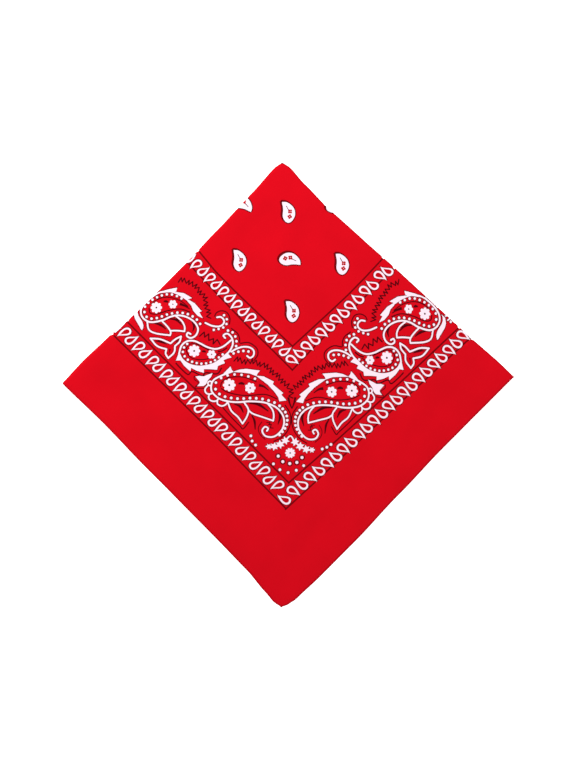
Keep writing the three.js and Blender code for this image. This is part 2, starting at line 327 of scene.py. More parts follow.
# The border's lines, dark red and a good millimetre wide, run beside the two rows of drops. They
# bow by a millimetre or two, meet at a corner and go on over both folds. Each arm is given as its
# end and its six rises from the straight, from the corner outwards.
BORDER_WIDTH = 1.35
BORDER_FROM, BORDER_TO, BORDER_STEPS = -0.004, 1.07, 40
for corner, left, left_rise, right, right_rise in (
    ((-2.2, -106.5), (-151, 43), (0.4, 0.6, 1.6, 1.3, 0.9, 0.6),
     (156.6, 39.5), (-0.4, -0.4, -0.1, 0.3, 0.3, 0.5)),
    ((0.7, -83.3), (-137.1, 54.2), (-0.6, -0.5, -0.4, -0.5, -0.9, -0.6),
     (146.3, 49.9), (-0.6, -1.4, -1.6, -1.7, -1.5, -0.9)),
    ((3.7, 13.6), (-86, 104.9), (-0.5, -0.7, -1.4, -1.1, -0.7, 0),
     (92.9, 100.6), (-0.6, 0.5, 0.9, 0.8, 0.9, 1.2)),
    ((3.7, 34.1), (-77.2, 115.8), (-0.5, -1.1, -1.7, -2.3, -2.2, 0),
     (81.9, 108.9), (-0.8, -1.2, -1.6, -1.8, -1.1, 0.2)),
):
    corner = np.array(corner, float)
    for end, rise in ((left, left_rise), (right, right_rise)):
        run = np.array(end) - corner
        upward = np.array([-run[1], run[0]]) * math.copysign(1 / np.hypot(*run), run[0])
        share = np.linspace(BORDER_FROM, BORDER_TO, BORDER_STEPS)
        bow = np.interp(share, np.linspace(0, 1, len(rise)), rise)
        stroke("line", corner + share[:, None] * run + bow[:, None] * upward, BORDER_WIDTH)
    dot("line", corner + (0, left_rise[0] + right_rise[0]), 0.67, 8)

# The two rows of open drops point in and out by turns. The left and right sides differ a little.
# Each row is given as (number along the row, x, y), with the drops between evenly spaced.
LEFT_OUTER = {"length": 13.3, "width": 6.8, "rim": 1.42, "bend": 0.6}
RIGHT_OUTER = {"length": 13.1, "width": 7.2, "rim": 1.48, "bend": -0.8}
LEFT_INNER = {"length": 12.1, "width": 6.6, "rim": 1.38, "bend": 0.8}
RIGHT_INNER = {"length": 12.6, "width": 7.0, "rim": 1.45, "bend": -0.9}


def open_drop(middle, degrees, length, width, rim, bend):
    middle = np.array(middle)
    heading = np.array([math.cos(math.radians(degrees)), math.sin(math.radians(degrees))])
    mark("edge", drop_outline(middle + 0.4 * EDGE * heading, heading,
                              length + 3 * EDGE, width + 2 * EDGE, bend))
    mark("white", drop_outline(middle, heading, length, width, bend))
    mark("inside", drop_outline(middle - 0.5 * rim * heading, heading,
                                length - 3.2 * rim, width - 2 * rim, 0.7 * bend, 18))


for count, degrees, drop, row in (
    (12, 24.4, LEFT_OUTER, [(0, -146, 51.3), (1, -134.1, 39.4), (8, -51, -42.8), (11, -15.4, -80.8)]),
    (12, 204.4, LEFT_OUTER, [(0, -141, 44.6), (2, -117.1, 20.2), (7, -57.9, -37.5), (11, -9.4, -87)]),
    (12, -30.3, RIGHT_OUTER, [(0, 4.9, -92), (2, 34.2, -67.9), (4, 61.6, -43.1), (7, 99.7, -6.6),
                              (10, 139, 29.3), (11, 151, 41.8)]),
    (12, 150, RIGHT_OUTER, [(0, -3.6, -97.8), (1, 11.3, -85), (3, 40.5, -60.6), (6, 80, -23.6),
                            (8, 105.4, 0.2), (11, 144, 36.7)]),
    (8, 29.8, LEFT_INNER, [(0, -2.2, 29.6), (4, -49.4, 75.5), (7, -84, 110)]),
    (7, 211.4, LEFT_INNER, [(0, -9.2, 34.6), (3, -44.6, 68.4), (6, -79.4, 103)]),
    (7, -30.3, RIGHT_INNER, [(0, 3.9, 20.9), (1, 16.7, 32.6), (4, 54.2, 67.4), (6, 79.6, 93.2)]),
    (7, 149.7, RIGHT_INNER, [(0, 9.4, 28), (3, 47.2, 62.8), (6, 84.8, 98.8)]),
):
    number, x, y = np.array(row, float).T
    for middle in zip(np.interp(range(count), number, x), np.interp(range(count), number, y)):
        open_drop(middle, degrees, **drop)

# The large leafy paisley of each half: a round head with a scalloped rim, a body with flowers
# and beads, flames along its back, two leaves under it, and a tail that rolls into a scroll.
both_halves_from = len(print_marks)
white_line([
    (-48, 11.6), (-57, 8.1), (-63.9, 4.3), (-66.1, -0.9), (-65.1, -6.3), (-59.5, -11.5), (-52, -14),
    (-43, -14.8), (-32, -14.1), (-19, -15.4), (-8.9, -20.3), (-3.6, -28.5), (-4.6, -37.5),
    (-11.5, -44.2), (-19, -44.1), (-22.2, -39.5), (-19.8, -36), (-17, -37.4), (-18.2, -39.5)])
white_shape([(-56.6, 8.6), (-53, 12.5), (-49.4, 16), (-48.4, 13), (-46.8, 11.2)])
white_shape([
    (-47.4, 11.2), (-42, 13.2), (-36, 13.9), (-24.1, 12.4), (-26.4, 9.6), (-27, 7.6), (-33, 9.9),
    (-40, 10.7)])
white_shape([
    (-27.6, 8), (-21, 7.4), (-15.9, 4.8), (-12, 2.8), (-13.2, 0.8), (-8.8, -3), (-4.1, -6.9),
    (-5.6, -8.4), (-1.3, -13.3), (-7.4, -14.1), (-8.4, -10.5), (-11.9, -5.5), (-17.3, 0.2), (-23, 4.6)])
beads([(-62, 2), (-56.5, 6.6), (-48, 8.9), (-38.5, 8.5), (-28.4, 5.4)], 7, 1.15)
beads([(-62.3, -3.6), (-59, -7.8), (-53.4, -10.3), (-42.8, -11.8), (-30.7, -11.3), (-20.2, -12.4),
       (-11.6, -15.2)], 11, 1.25)
beads([(-7.2, -18), (-2.2, -23.4), (-0.6, -30.5), (-2.4, -37), (-7.2, -43)], 9, 1.25)
dark_line([(-58, -2), (-57, 2.2), (-52.5, 5.8), (-45, 7), (-36.5, 6.3), (-27, 2.6)], 0.85)
dark_line([(-57.6, -3), (-51.6, -6.4), (-41.6, -8.6), (-33, -9), (-19.5, -8.2), (-9, -12.2)])
dark_line([(-2.6, -17.2), (1.6, -24), (2.4, -31), (0.2, -38.4), (-5, -44.8), (-12.5, -48.6)])
flower((-50.5, -0.1), 5.6, 8)
flower((-32.5, -2.6), 4.7, 7)
dark_line([(-42.6, 1), (-40, 1.5), (-37.4, 0.6)], (1.2, 2.4, 1.3))
dark_line([(-25, -0.2), (-21, -1.3), (-16.6, -4.6)], (2.6, 1.5, 0.7))
for stops in (
    [(-65.6, 2.6), (-67.4, 3.3), (-68.9, 1.9), (-68.3, -0.1), (-66.6, -0.6)],
    [(-68.8, -0.4), (-71.1, -3), (-71.3, -5.3), (-70.2, -7.1), (-68.2, -7.9), (-65.6, -7.4)],
    [(-67.4, -7.8), (-68.3, -10.2), (-67.4, -12.7), (-64.6, -14), (-61.6, -13.7), (-60.2, -12.4)],
    [(-60.8, -13.2), (-60.5, -16.4), (-57, -18.1), (-53.5, -16.8), (-52, -14.4)],
):
    white_line(stops, 1.35)
for stops in (
    [(-51.6, -15.5), (-48.6, -22.4), (-43, -27.6), (-39.1, -33.3)],
    [(-37.6, -15.2), (-34.1, -21), (-35.2, -26.9), (-39.1, -33.3)],
    [(-34, -21.8), (-30, -24.8), (-21.6, -27.7), (-12.7, -30.8)],
    [(-17.3, -16.2), (-13.4, -21.2), (-12.2, -26.2), (-12.7, -30.8)],
):
    white_line(stops, 1.4)
dark_line([(-46.4, -16.4), (-41.2, -18.4), (-38.4, -23.8)], (0.6, 2.4, 0.8))
dark_line([(-33.4, -15.9), (-25.4, -16.8), (-16.8, -22.6)], (0.7, 2.5, 0.9))
dark_line([(-8.8, -21.9), (-6.8, -27), (-8.6, -34)], (0.8, 2.4, 0.6))
dark_line([(-56.5, -19), (-48.5, -28), (-41, -35.6), (-38.6, -37.8), (-33.6, -31.8)])
dark_line([(-31.2, -25.8), (-28.8, -31), (-28.2, -38.4)], (1, 2, 0.8))
dark_line([(-22.4, -31.6), (-25.4, -36.6), (-24.4, -42), (-19.5, -47)], 0.7)
zigzag([(-17.4, -31.6), (-13.6, -37.2)], 1.1, 0.8, 1.5)

# The upper leafy paisley is smaller, leans over, and is cut by the fold.
white_line([
    (-113, 78.6), (-120, 73.6), (-125.3, 67.6), (-126.5, 62), (-124, 57), (-117.8, 54), (-108, 55.7),
    (-101, 58.7), (-94, 59.9), (-86.6, 58.2), (-80.4, 54), (-77.4, 48.2), (-79.2, 42.8), (-83.6, 40.4),
    (-87, 42.2), (-86.2, 45), (-83.8, 43.8)])
white_line([(-114, 78), (-108.6, 80.1), (-103, 80.6), (-96.5, 79), (-90.5, 75.8), (-85, 72)], 1.2)
white_shape([(-112, 79), (-105, 81.7), (-95.3, 83.7), (-96.2, 80.2), (-104, 79.6)])
white_shape([(-96.6, 80), (-89.5, 78.9), (-82.4, 74.8), (-86.4, 73.6), (-91, 75.6)])
white_shape([
    (-86.4, 74), (-80.3, 70.3), (-74.2, 63.4), (-76.3, 62.6), (-73.2, 57.4), (-77.8, 59.6), (-81.6, 64),
    (-83.2, 68.4), (-86.4, 71.8)])
beads([(-122.9, 67.3), (-118.5, 72), (-111, 76.1), (-102.6, 78.1), (-96, 76.6), (-91.6, 74.4)], 9, 1.1)
beads([(-123.4, 62.7), (-121.6, 58.6), (-117.3, 57), (-111.4, 57.9), (-103.2, 60.8), (-94.1, 62.2),
       (-85.7, 60.8), (-79, 56.8), (-75.6, 52.6)], 13, 1.15)
dark_line([(-119.4, 66), (-118.4, 61.8), (-112.6, 61), (-103.4, 63.9), (-92.6, 65.3), (-84, 62.6)])
dark_line([(-118, 69.4), (-110.6, 74.2), (-102.6, 75.4), (-93.4, 72.8), (-86, 67.6)], 0.85)
flower((-113.2, 66.5), 5, 8)
flower((-99, 69.4), 3.8, 6)
dark_line([(-107, 71.6), (-105, 72), (-103.2, 71.2)], (1, 2.2, 1.2))
dark_line([(-93, 69.8), (-88.6, 68), (-84.6, 65.4)], (2.4, 1.6, 0.7))
for stops in (
    [(-121, 54.2), (-119.6, 47.6), (-113.6, 44.4), (-101.4, 42.7)],
    [(-108.7, 55.4), (-103.4, 49.8), (-100.9, 45.6), (-101.4, 42.7)],
    [(-96.6, 59.4), (-91.3, 55), (-88.9, 50), (-89.1, 46.1)],
    [(-89.1, 46.1), (-94.6, 46.7), (-100.6, 46.7)],
):
    white_line(stops, 1.4)
dark_line([(-115.4, 53.2), (-109.6, 51.6), (-105, 48)], (0.7, 2.3, 0.7))
dark_line([(-102, 56.8), (-96, 56), (-91.4, 51.6)], (0.7, 2.3, 0.7))
dark_line([(-83, 55), (-80.8, 50.4), (-82, 46)], (0.6, 1.9, 0.6))

# A leaf and a sprig lie at the fold, and an open three-part leaf under the upper paisley.
white_shape([
    (-128, 67), (-129.1, 64.7), (-129.4, 62.2), (-128.5, 59.5), (-126.9, 57), (-125.2, 54.3),
    (-124.3, 51.3), (-124.5, 48.9), (-125.5, 47.1), (-126.6, 48.2), (-127.9, 50.8), (-129.7, 53.8),
    (-131.5, 56.8), (-132.4, 60.2), (-131.4, 64.5)])
white_line([(-131.5, 66), (-134.3, 66.6), (-135.6, 64.6), (-133.8, 63)], 1.2)
dot("edge", (-136.6, 62), 1.7)
dot("white", (-136.6, 62), 1.1)
for stops in (
    [(-118.3, 40), (-110, 39.4), (-101, 35.8)],
    [(-101, 35.8), (-96.8, 39.4), (-92, 41.8)],
    [(-92, 41.8), (-93.2, 37.3), (-97.2, 33.5)],
    [(-97.2, 33.5), (-98, 28), (-103, 23.1)],
    [(-103, 23.1), (-105.3, 27), (-104.5, 30.8)],
    [(-104.5, 30.8), (-112.5, 33.5), (-118.3, 40)],
):
    white_line(stops, 1.45)
dark_line([(-114, 37.6), (-109.4, 37.2), (-104, 35)], (0.5, 2.2, 0.5))
dark_line([(-96.4, 36.8), (-94.2, 38.8)], 0.8)
dark_line([(-101.4, 31), (-102.4, 26.6)], (1.3, 0.4))

# The plain paisley between them has flames below it, a curled tail, and a scroll branching off.
white_line([
    (-93.7, 27), (-91.7, 33.6), (-87, 37.6), (-80.8, 37.9), (-75.1, 35.5), (-69.4, 32.6), (-62.3, 31),
    (-55.6, 33.2), (-49.1, 38.4)])
white_line([
    (-93.7, 27), (-90.8, 21.8), (-85, 17.7), (-77.3, 15.9), (-69.4, 16.6), (-62.3, 19), (-55.9, 23.9),
    (-50.4, 29), (-47.5, 35), (-48.4, 40.6), (-52.2, 44.2), (-55.6, 42.6), (-54, 40.4)])
white_shape([
    (-94.2, 27), (-96.4, 21), (-92.6, 21.2), (-89.4, 16.6), (-84, 11.6), (-83.3, 14.8), (-78.7, 12.3),
    (-72.4, 10.4), (-72.3, 13.6), (-67.3, 13.6), (-61, 13.1), (-60.3, 16.3), (-57.6, 17.5),
    (-54.2, 18.8), (-55.5, 21.3), (-52, 22.8), (-48.5, 23.7), (-51.6, 27), (-56.4, 23.5), (-62.6, 18.8),
    (-69.4, 16.6), (-77.3, 15.9), (-85, 17.7), (-90.6, 22)])
beads([(-86.7, 35.3), (-90.4, 30.6), (-89.6, 25.9), (-86, 21.6), (-79, 18.9), (-71.5, 18.4),
       (-64, 20.6), (-56.2, 26.2)], 13, 1.1)
dark_line([
    (-68, 30), (-74, 33), (-80, 35.4), (-85.1, 34.8), (-87.4, 31), (-86, 26.2), (-81.8, 22.8),
    (-74.4, 21.8), (-65.8, 23.4), (-58.4, 27.6)], 0.85)
flower((-80.7, 29.3), 5.4, 8)
flower((-65.7, 26.3), 3.9, 6)
dark_line([(-74, 28.8), (-72.2, 29), (-70.6, 28.2)], (1, 2, 1.1))
dark_line([(-60.4, 28.6), (-56.4, 29.4), (-52.4, 32)], 1.2)
white_line([
    (-48.8, 28.6), (-44.4, 31.1), (-38.7, 32.8), (-33, 32.3), (-29.5, 29.5), (-29.7, 25.4),
    (-32.6, 23.3), (-35.2, 25)])
beads([(-46.8, 27.2), (-43.1, 28.5), (-38.7, 29.3), (-34, 28.8)], 4, 1.15)
beads([(-51.6, 46.8), (-47.6, 45.2), (-45, 41), (-44.2, 36.4), (-44.6, 33.4)], 5, 1.15)
dark_line([(-49, 48.8), (-43.6, 44.6), (-41.6, 39.6), (-41.8, 36)])
dark_line([(-41.2, 35.8), (-33.7, 36.4), (-26.9, 31.6), (-26, 26), (-29.4, 20.9)])
dark_line([
    (-96.6, 19), (-92.6, 14.6), (-86, 9), (-82.4, 11.6), (-74, 7.8), (-70.6, 10.6), (-61, 9.6),
    (-57, 14.8)], 1.1)

# Small marks fill the ground: a star, a curl with beads, and dark zigzags.
white_shape([
    (-64.9, 10.2), (-66.2, 6.9), (-68.8, 4.2), (-70.6, 0.6), (-72.6, -0.9), (-78.2, -1), (-76, 1.4),
    (-75.9, 2.8), (-79.6, 7.2), (-76.4, 7.9), (-72.4, 7.4), (-69.6, 8.6)])
dark_line([(-80.4, 8), (-80.6, 5), (-77, 1.6), (-80, -2.6), (-72, -3)], 0.7)
white_line([
    (-71.1, 53.4), (-65, 50.8), (-59, 50.4), (-55.4, 52.8), (-55.2, 56), (-57.8, 58.5), (-61.1, 58.2)])
beads([(-55, 60), (-52.5, 56.2), (-53.2, 51.8), (-56.6, 49), (-63.8, 47.4)], 6, 1.1)
dark_line([(-63.2, 58.8), (-61.6, 62), (-57.4, 63.8), (-52.6, 62.4), (-50, 57.6), (-50.4, 52)])
zigzag([(-75.5, 43.9), (-69, 41.6), (-64, 38), (-58.6, 36.8)], 2.1, 1.1, 2.3)
zigzag([(-46, 22.4), (-38, 20.4), (-29, 19.6), (-21.6, 17.4), (-15.6, 13.6), (-10.4, 8.8),
        (-5.4, 4.2), (0.4, -1.6)], 2.0)

# The right half repeats the left one, turned over the cloth's corner line, and the folding has
# pulled it a little askew. The two rows give across and up as so much of x, y, 1, x squared,
# x times y and y squared, with x and y in units of 100 mm.
ACROSS_CORNER = np.array([[-99.65, -1.25, 5.75, -4.45, -11.56, -6.70],
                          [4.87, 98.04, -1.32, -4.12, -10.94, -0.10]])
for ink, outline in print_marks[both_halves_from:]:
    x, y = outline.T / 100
    mark(ink, np.column_stack([x, y, np.ones(len(x)), x * x, x * y, y * y]) @ ACROSS_CORNER.T)
zigzag([(-94.1, 90.2), (-87.5, 89.4), (-82.7, 87.4), (-77.4, 82.2), (-72.2, 76.2), (-70.6, 70.2),
        (-69, 63.6), (-68, 57.6)])
zigzag([(96, 89), (89.5, 86.4), (83.9, 80.4), (80, 74), (76.7, 68.7), (74.2, 61.2), (73, 54.4)])
white_line([(-148.6, 45.8), (-145, 49.4), (-141.4, 53)], 1.8)

# In the corner hangs a leafy garland over a flower, with two arcs of beads under it.
zigzag([(1.4, -2.4), (2.6, -7), (2.8, -11)], 2.0)
dark_line([(0.2, -10.6), (1.4, -15.6), (3.4, -20.4)], (1.9, 1.5, 0.9))
dark_line([(6.4, -10.6), (5.2, -15.6), (3.4, -20.4)], (1.9, 1.5, 0.9))
white_line([
    (-18.6, -52.8), (-12, -52.6), (-7, -51), (-2.2, -47.6), (2.2, -43.9), (6, -48.8), (10.2, -52.6),
    (15.6, -55.4), (22.6, -55.8)], 1.3)
STAR_CORNERS, STAR_INNER = 12, 0.52
for centre, reach, degrees in (
    ((-16.4, -53), 2.8, 0), ((-11.8, -52.9), 3.8, 20), ((-6.7, -51.1), 4, 38), ((-2.2, -47.8), 3.8, 47),
    ((6.1, -49), 3.9, -48), ((10.4, -52.8), 4, -38), ((15.6, -55.3), 3.8, -20), ((20.6, -55.9), 2.8, 0),
):
    turn = math.radians(degrees) + np.arange(STAR_CORNERS) * math.tau / STAR_CORNERS
    spikes = np.where(np.arange(STAR_CORNERS) % 2, reach * STAR_INNER, reach)
    white_shape(np.array(centre) + spikes[:, None] * np.column_stack([np.cos(turn), np.sin(turn)]), 0.5)
flower((1.9, -58.5), 4.5, 10)
beads([(-8.4, -61.2), (-4.7, -65.8), (1.5, -67.6), (8, -66.5), (12.1, -62.4)], 5, 1.35, 1.3)
beads([(-12.5, -67.9), (-6.8, -73), (0.9, -75.5), (6.6, -73.7), (13.5, -69.4)], 5, 1.25)
beads([(-31.9, -43.8), (-31, -48), (-27.9, -51.7)], 3, 1.25)
beads([(29.5, -55.1), (33, -53.8), (37, -51.2)], 3, 1.25)

# Solid white teardrops with a small red sprig are scattered over the plain middle. Their dark
# edge is heavier on one side. Those at the folds and at the cloth's middle are cut. The outline
# is given as (ahead, out) from the body's middle, towards the tip and towards the full side.
FIELD_DROP = np.array([
    (13, 0.2), (11.5, -2.9), (8.4, -5.2), (4.6, -6.5), (1, -6.3), (-2, -4.9), (-4.3, -2.4), (-5.6, 0.3),
    (-5.6, 3), (-3.8, 4.8), (-1.4, 5.4), (1.2, 5.2), (3.4, 4.2), (5.6, 2.8), (8.5, 1.5), (10.9, 0.9)])
HEAVY_EDGE, HEAVY_SIDE = 1.9, (-1, 0.8)
SPRIG_REACH, SPRIG_PETAL = 1.15, 0.95


def in_drop(body, heading, aside, ahead, out):
    return body + heading * ahead + aside * out


for body, tip, bend in (
    ((0.8, 145.8), (-5.1, 157.7), 1), ((-41.4, 104.2), (-46.6, 116.3), 1), ((-1.3, 108.3), (11.2, 103.4), -1),
    ((47, 101.2), (40.9, 113.7), 1), ((4.2, 60.4), (-1.4, 71.5), 1), ((-41.4, 157.6), (-32.4, 149.5), -1),
    ((39.2, 153.1), (47.8, 162.2), 1), ((-3.4, 196.2), (2, 207), 1),
):
    body, tip = np.array(body), np.array(tip)
    heading = (tip - body) / np.hypot(*(tip - body))
    aside = np.array([-heading[1], heading[0]]) * bend
    outline = body + curve(np.vstack([FIELD_DROP, FIELD_DROP[:1]]), 2) @ np.array([heading, aside])
    for shift in ((0, 0), HEAVY_SIDE):
        stroke("line", outline + shift, HEAVY_EDGE)
        mark("line", outline[:-1] + shift)
    stroke("dark", outline, 0.9)
    mark("white", outline[:-1])
    stem = [in_drop(body, heading, aside, *end) for end in ((8.4, -1.6), (4.2, -1.9))]
    stroke("stem", stem, 0.6)
    for ahead, out, turned in ((2.7, -2.4, 0.3), (-1.2, -0.2, 0.9)):
        for turn in np.arange(4) * math.tau / 4 + turned:
            petal = ahead + SPRIG_REACH * math.cos(turn), out + SPRIG_REACH * math.sin(turn)
            dot("sprig", in_drop(body, heading, aside, *petal), SPRIG_PETAL, 8)

# The quarter that shows is thin plain-weave cotton, about 0.35 mm thick with its finish. It goes
# over both folds and turns under at its two free edges. Its faces follow the print's outlines,
# so the print keeps its sharp edges.
CLOTH_THICKNESS = 0.35
GRID = 3.2
NOSE_STEPS = 10
HEM_STEPS = 6
OUTER_SKIN = -HALF_WALL
BY_FOLD = [1.6, 2.5]
JOINED_WITHIN = 0.004

flat_stations = np.arange(BY_FOLD[-1] + 1, HEM_TURN_START, GRID)
hem_stations = HEM_TURN_START + HEM_TURN_RADIUS * math.pi * np.arange(HEM_STEPS + 1) / HEM_STEPS
turn1 = RIGHT_FOLD_RADIUS * (1 - math.pi * np.arange(NOSE_STEPS, -1, -1) / NOSE_STEPS)
stations1 = np.concatenate([turn1, BY_FOLD, flat_stations, hem_stations])
inset1, _ = over_fold(stations1, RIGHT_FOLD_RADIUS, OUTER_SKIN)
inset1, _ = round_hem(stations1, inset1, 0)
radius1 = fold_radius(inset1)
turn2 = radius1[:, None] * (1 - math.pi * np.arange(NOSE_STEPS, -1, -1) / NOSE_STEPS)
past_nose = np.concatenate([flat_stations, hem_stations])
stations2 = np.hstack([turn2, np.tile(past_nose, (len(stations1), 1))])
grid = np.stack([np.tile(stations1[:, None], (1, stations2.shape[1])), stations2], axis=2)

# The rim, the marks, the grid and the lines where the folds begin are joined in one mesh
rim = np.vstack([grid[:, 0], grid[-1, 1:], grid[-2::-1, -1], grid[0, -2:0:-1]])
inner = grid[1:-1, 1:-1].reshape(-1, 2)
fold_line1, fold_line2 = grid[NOSE_STEPS], grid[:, NOSE_STEPS]
marks = sorted(print_marks, key=lambda one: INKS.index(one[0]))
placed = cloth_place(np.vstack([outline for _, outline in marks]))
sizes = [len(rim)] + [len(outline) for _, outline in marks]
ends = np.cumsum(sizes).tolist()
faces = [list(range(end - size, end)) for size, end in zip(sizes, ends)]
run1 = range(ends[-1] + len(inner), ends[-1] + len(inner) + len(fold_line1))
run2 = range(run1.stop, run1.stop + len(fold_line2))
edges = [(i, i + 1) for run in (run1, run2) for i in run[:-1]]
points = [Vector(point) for point in np.vstack([rim, placed, inner, fold_line1, fold_line2])]
cut_points, _, cut_faces, _, _, _ = delaunay_2d_cdt(points, edges, faces, 1, JOINED_WITHIN, True)
cut_points = np.array([point[:] for point in cut_points])
cut_faces = np.array(cut_faces)


def held_by(outline, x, y):
    held = np.zeros(len(x), bool)
    for (x0, y0), (x1, y1) in zip(outline, np.roll(outline, -1, axis=0)):
        if y0 != y1:
            held ^= ((y0 > y) != (y1 > y)) & (x < x0 + (y - y0) * (x1 - x0) / (y1 - y0))
    return held


# Marks that run on past the cloth are cut off, and each face takes the topmost ink over it
middles = cut_points[cut_faces].mean(axis=1)
on_cloth = held_by(rim, *middles.T)
cut_faces, middles = cut_faces[on_cloth], middles[on_cloth]
by_side = np.argsort(middles[:, 0])
sides = middles[by_side, 0]
cut_inks = np.zeros(len(cut_faces), int)
for (ink, _), outline in zip(marks, np.split(placed, np.cumsum(sizes[1:])[:-1])):
    low, high = outline.min(axis=0), outline.max(axis=0)
    near = by_side[np.searchsorted(sides, low[0]):np.searchsorted(sides, high[0])]
    near = near[(middles[near, 1] > low[1]) & (middles[near, 1] < high[1])]
    cut_inks[near[held_by(outline, *middles[near].T)]] = INKS.index(ink)

# How much white ink, dark ink and line ink each mark takes, as red, green and blue. On plain red faces the
# blue channel also carries painted edge shade
INK_VALUES = {
    "red": (0, 0, 0, 1), "inside": (0, 0.28, 0, 1), "edge": (0, 0.8, 0, 1), "line": (0, 0, 1, 1),
    "dark": (0, 1, 0, 1), "white": (1, 0, 0, 1), "sprig": (0, 0, 0.45, 1), "stem": (0, 1, 0, 1),
}
# Painted shade: plain red faces are darkened along the folded and hemmed edges, where the cloth turns away
# from the light
EDGE_PAINTED_SHADE, EDGE_SHADE_REACH = 0.6, (0.1, 1.5)
# Triangles thinner than this are closed up
SLIVER = 0.01
# The UV map lays the weave out flat, one unit to so many millimetres, past a small margin
WEAVE_UNIT, WEAVE_MARGIN = 300, 10


# Painted shade along the folded and hemmed edges, laid on as line ink over the plain red
def painted_edge_shade(places):
    across = over_fold(places[:, 0], RIGHT_FOLD_RADIUS, OUTER_SKIN)[0]
    across = round_hem(places[:, 0], across, 0)[0]
    down = over_fold(places[:, 1], fold_radius(across), OUTER_SKIN)[0]
    down = round_hem(places[:, 1], down, 0)[0]
    near = np.minimum(np.minimum(across, down), QUARTER - np.maximum(across, down))
    return EDGE_PAINTED_SHADE * fade(near, *EDGE_SHADE_REACH)


def add_piece(name, mesh, material):
    mesh.materials.append(material)
    piece = bpy.data.objects.new(name, mesh)
    bpy.context.scene.collection.objects.link(piece)
    return piece


def printed_mesh(name, places, space, faces, inks, turn_over=False):
    used, corners = np.unique(faces, return_inverse=True)
    corners = corners.reshape(faces.shape)
    if turn_over:
        corners = corners[:, ::-1]
    mesh = bpy.data.meshes.new(name)
    mesh.from_pydata(space[used].tolist(), [], corners.tolist())
    flat = (places[used] + WEAVE_MARGIN) / WEAVE_UNIT
    weave = mesh.uv_layers.new(name="OFBake")
    weave.data.foreach_set("uv", flat[corners.ravel()].ravel())
    ink = mesh.color_attributes.new("ink", "FLOAT_COLOR", "CORNER")
    values = np.repeat(np.array([INK_VALUES[INKS[one]] for one in inks], float), 3, axis=0)
    plain = values[:, :3].max(axis=1) == 0
    # Plain red faces near the folded and hemmed edges take painted shade in the blue channel, as line ink
    values[plain, 2] = painted_edge_shade(places[used])[corners.ravel()][plain]
    ink.data.foreach_set("color", values.ravel())
    mesh.polygons.foreach_set("use_smooth", [True] * len(mesh.polygons))
    mesh.validate()
    cloth = bmesh.new()
    cloth.from_mesh(mesh)
    bmesh.ops.dissolve_degenerate(cloth, edges=cloth.edges, dist=SLIVER * MM)
    bmesh.ops.triangulate(cloth, faces=[face for face in cloth.faces if len(face.verts) > 3])
    cloth.to_mesh(mesh)
    cloth.free()
    return add_piece(name, mesh, printed_cotton)


def thicken(piece, offset=-1):
    wall = piece.modifiers.new("cloth thickness", "SOLIDIFY")
    wall.thickness = CLOTH_THICKNESS * MM
    wall.offset = offset


def fill(node, values):
    """Set each input of a shader node, or link it where the value is another node's output."""
    for name, value in values.items():
        if isinstance(value, bpy.types.NodeSocket):
            node.id_data.links.new(value, node.inputs[name])
        else:
            node.inputs[name].default_value = value
    return node


def cotton(name, red, printed):
    """Plain-weave cotton: fine crossing threads, slubs, faint uneven dye, and the print if any."""
    cloth = bpy.data.materials.new(name)
    cloth.use_nodes = True
    nodes = cloth.node_tree.nodes
    flat = nodes.new("ShaderNodeUVMap")
    flat.uv_map = "OFBake"
    across = fill(nodes.new("ShaderNodeMapping"), {
        "Vector": flat.outputs["UV"], "Scale": (WEAVE_UNIT,) * 3})
    place = across.outputs["Vector"]
    threads = []
    for direction in ("X", "Y"):
        thread = fill(nodes.new("ShaderNodeTexWave"), {
            "Vector": place, "Scale": 0.72, "Distortion": 0.6, "Detail": 1.0, "Detail Scale": 0.35})
        thread.bands_direction = direction
        threads.append(thread.outputs["Fac"])
    weave = fill(nodes.new("ShaderNodeMath"), dict(enumerate(threads)))
    weave.operation = "MULTIPLY"
    dye = fill(nodes.new("ShaderNodeTexNoise"), {"Vector": place, "Scale": 0.03, "Detail": 4.0})
    tone = fill(nodes.new("ShaderNodeMapRange"), {
        "Value": dye.outputs["Fac"], "From Min": 0.3, "From Max": 0.7, "To Min": 0.955, "To Max": 1.03})
    ground = nodes.new("ShaderNodeMix")
    ground.data_type = "RGBA"
    ground.blend_type = "MULTIPLY"
    fill(ground, {"Factor": 1.0, "A": (*red, 1), "B": tone.outputs["Result"]})
    colour = ground.outputs["Result"]
    if printed:
        # The ink attribute carries the print, and in its blue channel also the painted shade along the edges
        ink = nodes.new("ShaderNodeAttribute")
        ink.attribute_name = "ink"
        parts = fill(nodes.new("ShaderNodeSeparateColor"), {"Color": ink.outputs["Color"]})
        for part, pigment in (("Blue", LINE_INK), ("Green", DARK_INK), ("Red", WHITE_INK)):
            over = nodes.new("ShaderNodeMix")
            over.data_type = "RGBA"
            fill(over, {"Factor": parts.outputs[part], "A": colour, "B": (*pigment, 1)})
            colour = over.outputs["Result"]
    slub = fill(nodes.new("ShaderNodeTexNoise"), {"Vector": place, "Scale": 0.5, "Detail": 3.0})
    relief = fill(nodes.new("ShaderNodeMath"), {0: weave.outputs["Value"], 1: slub.outputs["Fac"]})
    relief.operation = "ADD"
    bump = fill(nodes.new("ShaderNodeBump"), {
        "Strength": 0.35, "Distance": 0.06 * MM, "Height": relief.outputs["Value"]})
    fill(nodes["Principled BSDF"], {
        "Base Color": colour, "Roughness": 0.95, "Specular IOR Level": 0.04, "Sheen Weight": 0.03,
        "Sheen Roughness": 0.6, "Sheen Tint": (1.0, 0.25, 0.3, 1), "Normal": bump.outputs["Normal"]})
    return cloth


RED = (0.60, 0.0018, 0.0085)
WHITE_INK = (0.86, 0.71, 0.79)
DARK_INK = (0.07, 0.0006, 0.003)
LINE_INK = (0.15, 0.0008, 0.0025)
printed_cotton = cotton("printed cotton", RED, True)

